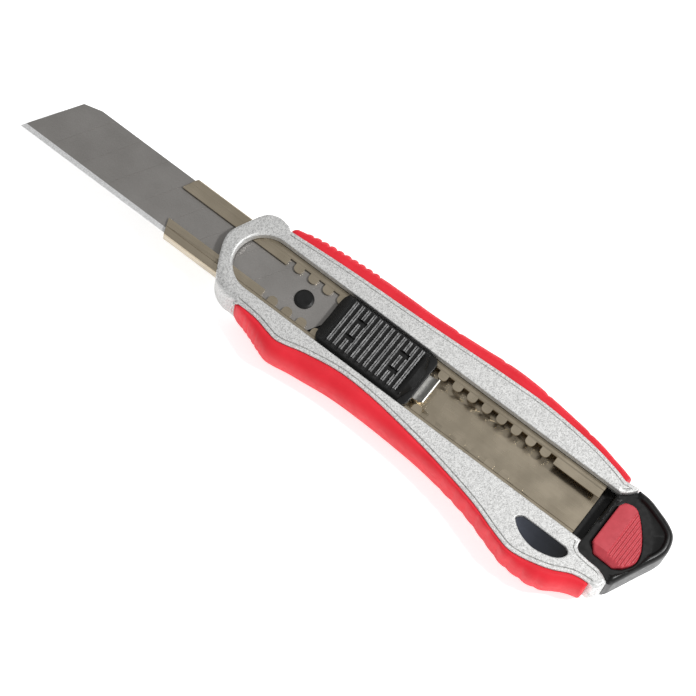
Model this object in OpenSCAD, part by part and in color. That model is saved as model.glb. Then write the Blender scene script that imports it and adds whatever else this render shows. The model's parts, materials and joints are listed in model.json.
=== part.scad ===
// Snap-off utility knife: die-cast two-part body with soft grips, a steel blade channel with a
// double rack, a self-locking thumb slider and a latched end cap over a spare blade store.
// The blade points to -X, the spine and the thumb side are +Y, and the slider faces +Z.
// The knife lies on its flat back at Z = 0.

/* [Handle] */
// Length of the handle, from the nose to the end of the cap
handle_len = 152.4; // [146.4:0.4:186]
// Width of metal on each side of the channel, at the end of the first quarter
side_w = 5.2; // [4.3:0.1:9]
// Thickness of the handle, from the back to the front face
handle_t = 14; // [14:0.2:18]
// Thickness of the back half, which holds the spare blades
back_t = 6.4; // [6.4:0.1:7.5]
// Thickness of the wall under the spare blades
floor_t = 1.6; // [1.2:0.1:2]
// Length of the end cap behind the metal body
cap_len = 21; // [19:0.5:26]
// How far each grip stands out of the metal body at its thickest place
grip_out = 5.5; // [4:0.1:6.6]
// Distance between two ridges of the thumb rest
ridge_pitch = 2.4; // [2:0.1:3]

/* [Window] */
// Width of the window in the front face
window_w = 18; // [15:0.1:18.4]
// Length of the bridge over the channel, from the nose to the window
bridge_len = 5; // [4:0.1:9]

/* [Channel] */
// Outside width of the steel channel
channel_w = 19.6; // [19.6:0.1:23.6]
// Outside height of the steel channel
channel_h = 4.8; // [4.6:0.1:5.8]
// Thickness of the channel's sheet
sheet_t = 0.6; // [0.4:0.1:0.8]
// How far the channel stands out of the nose
channel_out = 19; // [14:0.5:22]
// How far the edge side of the channel's front end is cut back
front_slant = 2.8; // [0:0.1:4]
// Gap between the two folded lips
lip_gap = 9.7; // [9.4:0.1:11.6]
// Distance between two notches of the rack
rack_pitch = 5.1; // [4.25:0.05:6.1]
// Width of one notch of the rack
notch_w = 2.1; // [1.8:0.1:2.5]
// Depth of one notch of the rack
notch_d = 2.3; // [2.1:0.1:2.8]

/* [Blade] */
// Width of the blade
blade_w = 18; // [15:0.5:18.3]
// Length of the blade along its edge
blade_len = 100; // [84:1:108]
// Thickness of the blade
blade_t = 0.5; // [0.4:0.05:0.6]
// How far the tip stands out of the nose
blade_out = 66.7; // [60:0.1:76]
// Distance between two snap lines
snap_pitch = 9.75; // [8:0.05:12]
// Width of the ground bevel at the cutting edge
bevel_w = 1.5; // [1:0.1:2.2]
// Diameter of the pin that holds the blade
pin_d = 5.6; // [4.7:0.1:6.8]

/* [Slider] */
// Length of the thumb slider
slider_len = 33.6; // [31:0.1:40.4]
// Height of the slider over the channel's lips
slider_h = 4.3; // [3.8:0.1:5.2]
// Distance between two ribs of the slider
rib_pitch = 2.15; // [1.8:0.05:2.5]
// How far the slider is pressed down to free the rack
press_travel = 0.6; // [0.4:0.1:0.7]

/* [Latch] */
// How far the latch button is pressed down
latch_travel = 1.2; // [1:0.1:1.4]
// How far the latch button stands out of the cap's panel
button_out = 2; // [1.4:0.1:2.6]
// Diameter of the latch button's stem
stem_d = 4.4; // [3.6:0.1:5.4]

/* [Fits] */
// Clearance around pieces that are set in or slide
fit = 0.2; // [0.1:0.05:0.25]
// Shank diameter of the housing screws
screw_d = 2; // [1.6:0.1:2.4]

/* [Hidden] */
$fn = 48;
eps = 0.01;
big = 400;
silver = [0.78, 0.79, 0.79];
red = [0.86, 0.13, 0.18];
black = [0.09, 0.09, 0.10];
steel = [0.62, 0.58, 0.52];
blade_grey = [0.47, 0.46, 0.45];

// Lengths along the handle, measured from the nose
nose_len = 13.6;
cap_front = handle_len - cap_len;
span = cap_front - nose_len;
channel_end = cap_front - 3.4;
// Widths of the outlines, as a share of the ones drawn for a 30 mm body
sy = (channel_w + 2 * side_w) / 30;

// Levels above the flat back
channel_z = back_t;
lips_z = channel_z + channel_h;
joggle = 0.25;
lip_under = lips_z - joggle - sheet_t;
blade_z = lip_under - 0.25 - blade_t;
frame_t = 1.6;
frame_z = back_t - frame_t;
slider_z = lips_z + press_travel + 0.15;
slider_top = lips_z + slider_h;

// The carriage
snap_slope = tan(30);
// How far the blade's ends lean towards the rear, over its width
lean = blade_w * snap_slope;
tail_x = blade_len - blade_out;
pin_x = tail_x - 4.9;
carrier_x0 = pin_x - pin_d / 2 - 1.5;
slider_x0 = tail_x + 2.9;
slider_x1 = slider_x0 + slider_len;
// Plain stretch of the lips behind the last notch
rack_margin = 10.4;
rack_first = channel_end - 109.8;
// The spring's ears stand in the notch nearest to this place under the slider
lock_notch = round((slider_x0 + 23 - rack_first - notch_w / 2) / rack_pitch);
lock_x = rack_first + notch_w / 2 + lock_notch * rack_pitch;
rack_count = floor((channel_end - rack_margin - rack_first) / rack_pitch);
// Neck of the carrier that drives the slider, and the rivet behind it
neck_x0 = tail_x + 8.4;
neck_x1 = neck_x0 + 4;
rivet_x = neck_x1 + 2.6;
rivet_bore = 2.1;
leaf_t = 0.4;
leaf_z = lip_under - 0.05 - leaf_t;
carrier_top = leaf_z;
ear_w = notch_w - 0.6;

// Smooth curve through a list of points
function spline_point(p0, p1, p2, p3, t) =
    0.5 * ((2 * p1) + (p2 - p0) * t + (2 * p0 - 5 * p1 + 4 * p2 - p3) * t * t
    + (3 * p1 - p0 - 3 * p2 + p3) * t * t * t);
function spline(p, steps) =
    let(last = len(p) - 1)
    [for (i = [0 : last - 1], k = [0 : steps - 1])
        spline_point(p[max(i - 1, 0)], p[i], p[i + 1], p[min(i + 2, last)], k / steps),
     p[last]];
function reversed(p) = [for (i = [len(p) - 1 : -1 : 0]) p[i]];
function along_y(p) = [for (q = p) [q[0], -q[1]]];
function unit(v) = v / norm(v);
// Moves each point of a counter-clockwise outline inwards by d
function inset(p, d) =
    [for (i = [0 : len(p) - 1])
        let(a = p[(i + len(p) - 1) % len(p)], b = p[(i + 1) % len(p)], t = unit(b - a))
        p[i] + d * [-t[1], t[0]]];
// Moves each point of an open curve to its left by d
function beside(p, d) =
    [for (i = [0 : len(p) - 1])
        let(t = unit(p[min(i + 1, len(p) - 1)] - p[max(i - 1, 0)]))
        p[i] + d * [-t[1], t[0]]];
// Shrinks an outline towards the middle of its points
function shrunk(p, k) =
    let(c = [for (q = p) 1] * p / len(p))
    [for (q = p) c + k * (q - c)];
// Value at x of a curve given as points of rising x
function value_at(p, x, i = 0) =
    (i >= len(p) - 2 || x <= p[i + 1][0])
    ? p[i][1] + (p[i + 1][1] - p[i][1]) * (x - p[i][0]) / (p[i + 1][0] - p[i][0])
    : value_at(p, x, i + 1);
// Points given by their share of the way from the nose to the cap
function on_body(p) = [for (q = p) [nose_len + q[0] * span, q[1] * sy]];

// Outline of the nose, from its foremost point to each side
nose_up = spline([for (q = [[0, 1.2], [0.7, 3.8], [2.3, 7.2], [4, 10.8], [5.8, 13], [8.8, 14.1],
                            [11.8, 13.8]]) [q[0], q[1] * sy]], 3);
nose_low = spline([for (q = [[0, 1.2], [0.5, -1.6], [2, -5.2], [3.8, -8.6], [5.4, -11.2], [7.8, -13.1],
                             [10.6, -13.8]]) [q[0], q[1] * sy]], 3);
// Edge between the metal body and the upper grip
upper_edge = spline(on_body([[0, 12.7], [0.17, 14.1], [0.39, 15.1], [0.62, 16.5], [0.75, 16.8],
                             [0.88, 15.6], [0.96, 13.9], [1, 12.6]]), 5);
// Edge between the metal body and the lower grip
grips_end = cap_front + 8.8;
lower_edge = spline(concat(
    on_body([[0, -13.5], [0.07, -14.1], [0.112, -15.2], [0.146, -15.6], [0.218, -13.5],
             [0.309, -11.9], [0.413, -12.3], [0.561, -14.6], [0.654, -16.6],
             [0.748, -19.1], [0.832, -22.3], [0.89, -23.6], [0.974, -21.4]]),
    [[cap_front + 3.7, -18.3 * sy], [grips_end, -17.6 * sy]]), 4);
// Seams between the metal body and the end cap, from the middle outwards
upper_seam = [for (q = [[0, 8.6], [0.6, 8.9], [2.2, 10], [4.4, 12.6]]) [cap_front + q[0], q[1] * sy]];
lower_seam = [for (q = [[0, -10], [0.4, -11.3], [1.6, -12.1], [5, -12.5], [8.4, -12.7], [10.8, -13.4],
                        [12.6, -14.5]]) [cap_front + q[0], q[1] * sy]];
upper_tip = [cap_front + 4.2, 13.2 * sy];
lower_tip = [[cap_front + 10.6, -17.9 * sy], [cap_front + 11.8, -16.8 * sy]];

body_outline = concat(
    nose_low, lower_edge, lower_tip, reversed(lower_seam), upper_seam, [upper_tip],
    reversed(upper_edge), [for (i = [len(nose_up) - 1 : -1 : 1]) nose_up[i]]);

// Outer edge of the end cap
cap_rear = spline([for (q = [[4.6, 13.3], [8.4, 13.1], [12.6, 11.9], [16.9, 10.3], [19.7, 8.2], [21, 4.4],
                             [20.6, 1], [18.3, -4.2], [14.1, -13.6]])
                   [cap_front + q[0] * cap_len / 21, q[1] * sy]], 4);
cap_gap = 0.12;
cap_outline = concat(
    [for (q = lower_seam) q + [cap_gap, cap_gap]], reversed(cap_rear),
    [for (q = reversed(upper_seam)) q + [cap_gap, -cap_gap]]);

button_outline = [for (q = concat(
        [[2.6, 5.6], [2.6, -7], [4.8, -9.6], [11.4, -9.8]],
        spline([[13.6, -8.2], [15.4, -5.6], [15.6, -3], [14.2, 0.4], [11.4, 4.1], [8.3, 7.1],
                [6.1, 7.9], [3.6, 7.3]], 3)))
    [cap_front + q[0] * cap_len / 21, q[1] * sy]];
// The slot for the side window: straight on its inner side, bowed on its outer side
lens_outline = [for (q = concat(
        spline([[-17.7, -14.1], [-18.1, -15.4], [-14.8, -17.9], [-10, -19.2], [-5.4, -18.6],
                [-2, -17.1], [-0.6, -15], [-1.1, -13.8]], 3),
        [[-2.2, -13.3], [-16.5, -13.3]]))
    [cap_front + q[0], q[1] * sy]];

// The back edges of the nose and the rear end are rounded in steps, each a level and how far the
// outline is drawn in there; between them the grips cover the edges
round_levels = [[0, 2.4], [0.8, 1.7], [2, 1], [3.8, 0.4]];
function draw_in(outline, d) =
    [for (q = outline)
        let(to_nose = max(0, nose_len - q[0]), to_rear = max(0, q[0] - grips_end),
            share = max(min(1, to_nose / 6), to_rear / (handle_len - grips_end)))
        [q[0] + to_nose * d / nose_len - to_rear * d / (handle_len - grips_end),
         q[1] * (1 - share * d / (channel_w / 2 + 6))]];
module rounded_back(outline, low, top) {
    for (i = [0 : 3])
        slab(draw_in(outline, round_levels[i][1]), i == 0 ? low : round_levels[i][0],
             i == 3 ? top : round_levels[i + 1][0]);
}

channel_clear = channel_w / 2 + fit;
store_half = channel_w / 2 + 0.6;
store_x0 = 8;
tray_wall = 0.8;
spare_x0 = store_x0 + fit + tray_wall + 0.2;
tongue_len = 11.2;
tongue_x0 = max(cap_front - tongue_len, spare_x0 + blade_len + lean + 0.4);
catch_x = cap_front - 6.6;
leaf_low = frame_z - 0.1 - leaf_t;

screw_places = [[0.10, -11.9], [0.55, 12], [0.80, 12], [0.77, -14.2]];

module place() {
    translate([-handle_len / 2, 0, 0]) children();
}
module slab(outline, z0, z1) {
    translate([0, 0, z0]) linear_extrude(z1 - z0) polygon(outline);
}
module at_screws() {
    for (q = screw_places)
        translate([nose_len + q[0] * span, q[1] * sy, 0]) children();
}
// A box from one corner to the opposite one
module block(a, b) {
    translate(a) cube(b - a);
}

module front_housing() color(silver) place() difference() {
    slab(body_outline, back_t, handle_t);
    block([-1, -channel_clear, back_t - 1], [big, channel_clear, lips_z + 0.15]);
    window_opening();
    slab(lens_outline, handle_t - 3.2, handle_t + 1);
    at_screws() cylinder(h = handle_t - 2.6, d = screw_d + 0.1);
}
module window_opening() {
    translate([bridge_len + window_w / 2, 0, back_t]) cylinder(h = big, d = window_w, $fn = 72);
    block([bridge_len + window_w / 2, -window_w / 2, back_t], [big, window_w / 2, big]);
}

module back_housing() color(silver) place() difference() {
    rounded_back(body_outline, 0, back_t);
    block([store_x0, -store_half, floor_t], [big, store_half, back_t + 1]);
    at_screws() {
        translate([0, 0, -1]) cylinder(h = big, d = screw_d + 0.3);
        translate([0, 0, -1]) cylinder(h = 2.3, d = screw_d + 1.8);
    }
}

module housing_screws() color(steel) place() at_screws() difference() {
    union() {
        translate([0, 0, 0.3]) cylinder(h = 0.9, d = screw_d + 1.5);
        translate([0, 0, 0.3]) cylinder(h = handle_t - 3.6, d = screw_d);
    }
    for (turn = [0, 90])
        rotate([0, 0, turn]) translate([-1.2, -0.22, 0]) cube([2.4, 0.44, 0.9]);
}

module inner_frame() color(black) place() difference() {
    union() {
        block([store_x0 + fit, -store_half + fit, frame_z], [cap_front - fit, store_half - fit, back_t]);
        block([channel_end + fit, -channel_w / 2, frame_z], [cap_front - fit, channel_w / 2, back_t + 0.8]);
    }
    block([catch_x - 1.6, -3.4, frame_z - 1], [catch_x + 1.6, 3.4, big]);
    at_rivets() translate([0, 0, -1]) cylinder(h = big, d = rivet_bore);
}

module at_rivets() {
    for (x = [store_x0 + 5, store_x0 + 22])
        translate([x, 0, 0]) children();
}

// One grip: a rounded band that follows the edge of the metal body
module grip(edge, thickness, x0, x1, ridge_from, ridge_to, side) {
    ring_step = ridge_pitch / 2;
    rings = floor((x1 - x0) / ring_step);
    corners = 12;
    grip_low = 0.8;
    grip_high = handle_t - 0.5;
    mid = (grip_low + grip_high) / 2;
    half = (grip_high - grip_low) / 2;
    points = [for (i = [0 : rings])
        let(x = x0 + (x1 - x0) * i / rings,
            base = value_at(edge, x),
            ridge = (x > ridge_from && x < ridge_to && i % 2 == 0) ? 0.45 : 0,
            out = value_at(thickness, x) * grip_out + ridge)
        for (k = [0 : corners - 1])
            let(a = 180 * k / (corners - 1))
            [x, base + side * (0.05 + out * pow(sin(a), 0.45)), mid + half * cos(a)]];
    sides = [for (i = [0 : rings - 1], k = [0 : corners - 1])
        let(a = i * corners + k, b = i * corners + (k + 1) % corners)
        side > 0 ? [a, b, b + corners, a + corners] : [a, a + corners, b + corners, b]];
    first = [for (k = [0 : corners - 1]) side > 0 ? corners - 1 - k : k];
    last = [for (k = [0 : corners - 1]) rings * corners + (side > 0 ? k : corners - 1 - k)];
    polyhedron(points, concat(sides, [first, last]));
}
// Thickness of each grip along the handle, as a share of grip_out
function along_body(p) = spline([for (q = p) [nose_len + q[0] * span, q[1]]], 4);
upper_thick = along_body([[0.004, 0.3], [0.03, 0.5], [0.105, 0.62], [0.22, 0.7], [0.32, 0.8],
                          [0.47, 0.78], [0.6, 0.87], [0.66, 0.88], [0.73, 0.7], [0.835, 0.58],
                          [0.925, 0.51], [1, 0.44]]);
lower_thick = along_body([[0.004, 0.08], [0.05, 0.46], [0.106, 0.7], [0.142, 0.76], [0.185, 0.85],
                          [0.255, 1], [0.33, 0.98], [0.41, 0.88], [0.59, 0.49], [0.71, 0.35],
                          [0.845, 0.29], [0.907, 0.45], [0.96, 0.8], [1, 0.88], [1.05, 0.55],
                          [1.075, 0.3]]);
module upper_grip() color(red) place()
    grip(upper_edge, upper_thick, nose_len + 0.5, cap_front + 0.1, 18.6, 42.6, 1);
module lower_grip() color(red) place()
    grip(lower_edge, lower_thick, nose_len + 0.5, grips_end, 0, 0, -1);

module side_window() color([0.1, 0.11, 0.14]) place() difference() {
    slab(shrunk(lens_outline, 0.99), handle_t - 3.2, handle_t - 1);
    slab(shrunk(lens_outline, 0.86), handle_t - 2.2, handle_t);
}

// Half of the channel's section, from its middle outwards and back
function channel_half() =
    let(w = channel_w / 2, h = channel_h, t = sheet_t, g = lip_gap / 2, r = 1)
    concat([[0, 0]],
        [for (a = [-90 : 22.5 : 0]) [w - r + r * cos(a), r + r * sin(a)]],
        [for (a = [0 : 22.5 : 90]) [w - r + r * cos(a), h - r + r * sin(a)]],
        [[7.5, h], [7.2, h - joggle], [g, h - joggle], [g, h - joggle - t], [7.4, h - joggle - t],
         [7.7, h - t]],
        [for (a = [90 : -30 : 0]) [w - r + (r - t) * cos(a), h - r + (r - t) * sin(a)]],
        [for (a = [0 : -30 : -90]) [w - r + (r - t) * cos(a), r + (r - t) * sin(a)]],
        [[0, t]]);
module channel_section() {
    half = channel_half();
    polygon(concat(half, reversed([for (q = half) if (q[0] > 0) [-q[0], q[1]]])));
}
module blade_channel() color(steel) place() difference() {
    translate([-channel_out, 0, channel_z])
        rotate([90, 0, 90]) linear_extrude(channel_out + channel_end) channel_section();
    for (side = [-1, 1], i = [0 : rack_count - 1])
        translate([rack_first + i * rack_pitch, side * lip_gap / 2, channel_z + 2])
            mirror([0, side > 0 ? 0 : 1, 0]) rack_notch(i < rack_count - 1);
    // Slanted front end with cropped corners
    translate([-channel_out, 0, 0]) linear_extrude(big)
        polygon([[-1, channel_w], [2.4 + channel_w / 4, channel_w], [2.3, channel_w / 2],
                 [0, lip_gap / 2 + 0.3], [front_slant, -lip_gap / 2 - 0.3], [front_slant + 1.8, -channel_w / 2],
                 [front_slant + 1.8 + channel_w / 4, -channel_w], [-1, -channel_w]]);
    at_rivets() {
        cylinder(h = big, d = rivet_bore);
        translate([0, 0, channel_z]) cylinder(h = sheet_t + eps, d1 = rivet_bore, d2 = 3.9);
    }
}
// One flat notch, and the rounding of the tab behind it
module rack_notch(before_tab) {
    tab_w = rack_pitch - notch_w;
    r = min(tab_w / 2, 1.3);
    translate([0, -1, 0]) cube([notch_w, notch_d + 1, big]);
    if (before_tab)
        translate([notch_w, 0, 0]) linear_extrude(big) difference() {
            translate([-0.1, -1]) square([tab_w + 0.2, r + 1]);
            translate([r, r]) circle(r);
            translate([tab_w - r, r]) circle(r);
            translate([r, 0]) square([tab_w - 2 * r, r]);
        }
}
module channel_rivets() color(steel) place() at_rivets() {
    translate([0, 0, frame_z + 0.1]) cylinder(h = channel_z - frame_z, d = 2);
    translate([0, 0, channel_z + 0.05]) cylinder(h = sheet_t - 0.1, d1 = 2, d2 = 3.6);
}

function blade_shape(tip) =
    [[tip, -blade_w / 2], [tip + blade_len, -blade_w / 2], [tip + blade_len + lean, blade_w / 2],
     [tip + lean + 5, blade_w / 2], [tip + lean - 0.5, blade_w / 2 - 1.5]];
module snap_blade(tip, z) difference() {
    slab(blade_shape(tip), z, z + blade_t);
    // Ground bevels of the cutting edge
    for (flip = [0, 1])
        translate([0, -blade_w / 2, z + blade_t / 2]) mirror([0, 0, flip])
            rotate([90, 0, 90]) linear_extrude(2 * big, center = true)
                polygon([[-1, 0.06], [0, 0.06], [bevel_w, blade_t / 2 + eps], [-1, blade_t]]);
    // Snap lines, scored in the front face
    for (i = [1 : floor(blade_len / snap_pitch) - 1])
        translate([tip + i * snap_pitch, -blade_w / 2, z + blade_t - 0.08])
            linear_extrude(1) polygon([[0, 0], [0.18, 0], [0.18 + lean, blade_w], [lean, blade_w]]);
}
module blade() color(blade_grey) place() difference() {
    snap_blade(-blade_out, blade_z);
    translate([pin_x, 0, 0]) cylinder(h = big, d = pin_d + 0.2);
}
module spare_blade(i) color(blade_grey) place() difference() {
    snap_blade(spare_x0, floor_t + 0.8 + (i - 1) * (blade_t + 0.05));
    translate([spare_x0 + blade_len + pin_x - tail_x, 0, 0]) cylinder(h = big, d = pin_d + 0.2);
}
module blade_tray() color(black) place() difference() {
    block([store_x0 + fit, -store_half + fit, floor_t], [tongue_x0 - fit, store_half - fit, frame_z - 0.1]);
    block([store_x0 + fit + tray_wall, -blade_w / 2 - fit, floor_t + 0.75],
          [big, blade_w / 2 + fit, big]);
}

module blade_carrier() color(black) place() {
    half = channel_w / 2 - sheet_t - fit - 0.2;
    difference() {
        union() {
            block([carrier_x0, -half, channel_z + sheet_t + 0.1], [lock_x + 9, half, blade_z]);
            // Land behind the blade, under the leaf spring
            block([neck_x0, -lip_gap / 2 + 0.7, blade_z - 1],
                  [lock_x - 4, lip_gap / 2 - 0.7, carrier_top]);
            // Neck between the lips that drives the slider
            block([neck_x0, -lip_gap / 2 + 0.5, blade_z - 1],
                  [neck_x1, lip_gap / 2 - 0.5, slider_z + 0.9]);
            translate([pin_x, 0, blade_z - 1]) cylinder(h = blade_t + 1.5, d = pin_d);
            translate([pin_x, 0, blade_z + blade_t + 0.5 - eps])
                cylinder(h = 0.3, d1 = pin_d, d2 = pin_d - 1.2);
        }
        translate([rivet_x, 0, channel_z]) cylinder(h = big, d = rivet_bore);
    }
}
module lock_spring() color(steel) place() difference() {
    union() {
        // Leaf with its tail curled up behind the slider
        translate([0, 4.2, 0]) rotate([90, 0, 0]) linear_extrude(8.4)
            polygon([[neck_x1 + 0.5, leaf_z], [slider_x1 + 0.6, leaf_z], [slider_x1 + 2.4, leaf_z + 0.7],
                     [slider_x1 + 3.4, leaf_z + 2.3], [slider_x1 + 3, leaf_z + 2.5],
                     [slider_x1 + 2, leaf_z + 1], [slider_x1 + 0.4, leaf_z + leaf_t],
                     [neck_x1 + 0.5, leaf_z + leaf_t]]);
        // Ears that stand in the notches of both racks
        for (side = [-1, 1]) {
            translate([lock_x, side * 4.9, leaf_z + leaf_t / 2]) cube([ear_w, 3, leaf_t], center = true);
            translate([lock_x, side * 6, leaf_z + 0.5]) cube([ear_w, leaf_t, 1], center = true);
        }
    }
    translate([rivet_x, 0, 0]) cylinder(h = big, d = rivet_bore);
}
module lock_rivet() color(steel) place() translate([rivet_x, 0, 0]) {
    translate([0, 0, channel_z + sheet_t + 0.6]) cylinder(h = leaf_z - channel_z, d = 2);
    translate([0, 0, leaf_z + leaf_t]) cylinder(h = 0.35, d = 3.4);
}

slider_half = window_w / 2 - 0.35;
rib_count = floor((slider_len - 5.4) / rib_pitch);
rib_x0 = slider_x0 + 2.8;
module thumb_slider() color(black) place() difference() {
    union() {
        slab(slider_plan(0, slider_half), slider_z, slider_z + 1.1);
        slab(slider_plan(0.7, slider_half - 0.8), slider_z, slider_z + 2);
        slab(slider_plan(1.5, slider_half - 1.6), slider_z, slider_top - 0.8);
        for (i = [0 : rib_count - 1])
            block([rib_x0 + i * rib_pitch, -slider_half + 1.9, slider_top - 0.9],
                  [rib_x0 + i * rib_pitch + rib_pitch * 0.6, slider_half - 1.9, slider_top]);
        // Posts that press the leaf spring out of the rack
        for (side = [-1, 1])
            translate([lock_x, side * 2.4, leaf_z + leaf_t + 0.05])
                cylinder(h = slider_z + 1 - leaf_z - leaf_t, d = 2.4);
    }
    // Pockets between the ribs
    for (x = [slider_x0 + 7.6, slider_x0 + 22.9], side = [-1, 1])
        translate([x, side * 2.8 - 0.8, slider_top - 1.2]) cube([3.2, 1.6, 3]);
    // Socket for the carrier's neck and room for the rivet's head
    block([neck_x0 - fit, -lip_gap / 2 + 0.3, slider_z - 1],
          [neck_x1 + fit, lip_gap / 2 - 0.3, slider_z + 0.9 + press_travel + fit]);
}
// Outline of the slider, set in by d from its ends
function slider_plan(d, half) =
    let(a = slider_x0 + d, b = slider_x1 - d, r = 3)
    concat([for (t = [180 : 15 : 270]) [a + r + r * cos(t), -half + r + r * sin(t)]],
           [for (t = [270 : 15 : 360]) [b - 2 + 2 * cos(t), -half + 2 + 2 * sin(t)]],
           [for (t = [0 : 15 : 90]) [b - 2 + 2 * cos(t), half - 2 + 2 * sin(t)]],
           [for (t = [90 : 15 : 180]) [a + r + r * cos(t), half - r + r * sin(t)]]);

panel_z = handle_t - 1.6;
rim_w = 1.9;
stem_x = cap_front + 7.5;
button_t = 4.4;
module end_cap() color(black) place() difference() {
    union() {
        rounded_back(cap_outline, 0.3, back_t);
        slab(cap_outline, back_t, panel_z);
        // Raised rim around the rear of the panel
        slab(concat(reversed(cap_rear), beside(cap_rear, -rim_w)), panel_z - 1, handle_t - 0.4);
        // Tongue that plugs into the spare blade store
        block([tongue_x0, -store_half + 1, floor_t + 0.2], [cap_front + 1, store_half - 1, floor_t + 1.2]);
        for (side = [-1, 1])
            translate([tongue_x0, side * (store_half - 1.8) - 0.8, floor_t + 0.2])
                cube([cap_front + 1 - tongue_x0, 1.6, frame_z - floor_t - 0.4]);
    }
    slab(inset(button_outline, -fit), panel_z + button_out - button_t - fit - latch_travel, big);
    translate([stem_x, 0, floor_t + 1.2]) cylinder(h = big, d = stem_d + 2 * fit);
    block([cap_front - 1, -4.6, floor_t + 1.2], [cap_front + 14, 4.6, frame_z + 0.4]);
}
module latch_button() color(red) place() {
    top = panel_z + button_out;
    difference() {
        slab(button_outline, top - button_t, top);
        // Ribs across the sloping rear of the button
        for (x = [7.4 : 1.3 : 15])
            translate([cap_front + x, -20, top - 0.35]) cube([0.5, 40, 2]);
    }
    translate([stem_x, 0, leaf_low + leaf_t + 0.05]) cylinder(h = top - 3 - leaf_low, d = stem_d);
}
module latch_spring() color(steel) place() {
    translate([0, 3, 0]) rotate([90, 0, 0]) linear_extrude(6) polygon([
        [catch_x - 3, leaf_low], [cap_front + 13.5, leaf_low], [cap_front + 13.5, leaf_low + leaf_t],
        [catch_x + 1.4, leaf_low + leaf_t], [catch_x + 1.2, leaf_low + 1.5],
        [catch_x - 0.2, leaf_low + 1.5], [catch_x - 1.5, leaf_low + leaf_t],
        [catch_x - 3, leaf_low + leaf_t]]);
}

front_housing();
back_housing();
inner_frame();
upper_grip();
lower_grip();
side_window();
housing_screws();
blade_channel();
channel_rivets();
blade();
blade_carrier();
lock_spring();
lock_rivet();
thumb_slider();
end_cap();
latch_button();
latch_spring();
blade_tray();
spare_blade(1);  // spare_blade_1
spare_blade(2);  // spare_blade_2
spare_blade(3);  // spare_blade_3
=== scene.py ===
"""The looks of a snap-off utility knife. Each visible piece is a detailed mesh on the CAD frame,
whose sections and boxes give its outline, place and heights. The sizes of fine detail, such as
ribs, grooves and rounded edges, are given here in millimetres, and each piece gets a procedural
material."""

import json
import math

import bmesh
import bpy
import numpy as np
from mathutils import Matrix, Vector
from mathutils.geometry import delaunay_2d_cdt


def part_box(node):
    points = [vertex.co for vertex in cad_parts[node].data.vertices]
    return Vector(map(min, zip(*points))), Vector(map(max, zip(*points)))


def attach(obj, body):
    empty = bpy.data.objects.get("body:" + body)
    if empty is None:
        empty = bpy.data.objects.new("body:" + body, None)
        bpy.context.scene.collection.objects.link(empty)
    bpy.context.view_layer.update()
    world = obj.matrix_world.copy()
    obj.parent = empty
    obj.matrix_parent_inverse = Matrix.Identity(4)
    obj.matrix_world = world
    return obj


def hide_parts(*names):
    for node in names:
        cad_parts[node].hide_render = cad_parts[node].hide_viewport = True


MM = 0.001
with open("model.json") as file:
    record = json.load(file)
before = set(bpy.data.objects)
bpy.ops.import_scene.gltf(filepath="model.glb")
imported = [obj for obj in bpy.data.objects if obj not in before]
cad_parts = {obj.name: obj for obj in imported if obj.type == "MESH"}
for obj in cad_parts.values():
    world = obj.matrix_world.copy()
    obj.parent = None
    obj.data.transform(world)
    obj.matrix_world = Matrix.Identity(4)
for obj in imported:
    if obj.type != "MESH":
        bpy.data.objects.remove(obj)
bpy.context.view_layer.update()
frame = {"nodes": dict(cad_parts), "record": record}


# ---------------------------------------------------------------- outlines taken from the frame


def section(node, z):
    """Closed outlines, in millimetres, where the plane at height z cuts a CAD node's mesh."""
    mesh = frame["nodes"][node].data
    mesh.calc_loop_triangles()
    co = np.array([v.co for v in mesh.vertices], float) / MM
    links = {}
    for tri in mesh.loop_triangles:
        p = co[list(tri.vertices)]
        above = p[:, 2] > z
        if above.all() or not above.any():
            continue
        ends = []
        for i, j in ((0, 1), (1, 2), (2, 0)):
            if above[i] != above[j]:
                t = (z - p[i, 2]) / (p[j, 2] - p[i, 2])
                q = p[i] + t * (p[j] - p[i])
                ends.append(((round(q[0], 3), round(q[1], 3)), above[i]))
        a, b = (ends[0][0], ends[1][0]) if ends[0][1] else (ends[1][0], ends[0][0])
        if a != b:
            links[a] = b
    loops = []
    while links:
        start, here = links.popitem()
        loop = [start]
        while here != start and here in links:
            loop.append(here)
            here = links.pop(here)
        if here == start and len(loop) > 2:
            loops.append(np.array(loop))
    return [counter_clockwise(p) for p in sorted(loops, key=lambda p: -abs(area(p)))]


def area(p):
    """Area inside an outline, negative if it runs clockwise."""
    x, y = p[:, 0], p[:, 1]
    return 0.5 * float(np.sum(x * np.roll(y, -1) - np.roll(x, -1) * y))


def counter_clockwise(p):
    """The same outline, run counter-clockwise."""
    return p if area(p) > 0 else p[::-1]


def turns(p):
    """Turning angle at each point of a closed outline, in degrees."""
    a = p - np.roll(p, 1, axis=0)
    b = np.roll(p, -1, axis=0) - p
    return np.degrees(np.arctan2(a[:, 0] * b[:, 1] - a[:, 1] * b[:, 0], (a * b).sum(1)))


def simplified(p, least_turn=0.05, least_gap=0.02):
    """Drops points that lie on a straight stretch or on top of a neighbour."""
    while True:
        gap = np.linalg.norm(p - np.roll(p, 1, axis=0), axis=1)
        keep = (np.abs(turns(p)) > least_turn) & (gap > least_gap)
        if keep.all():
            return p
        p = p[keep]


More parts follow.
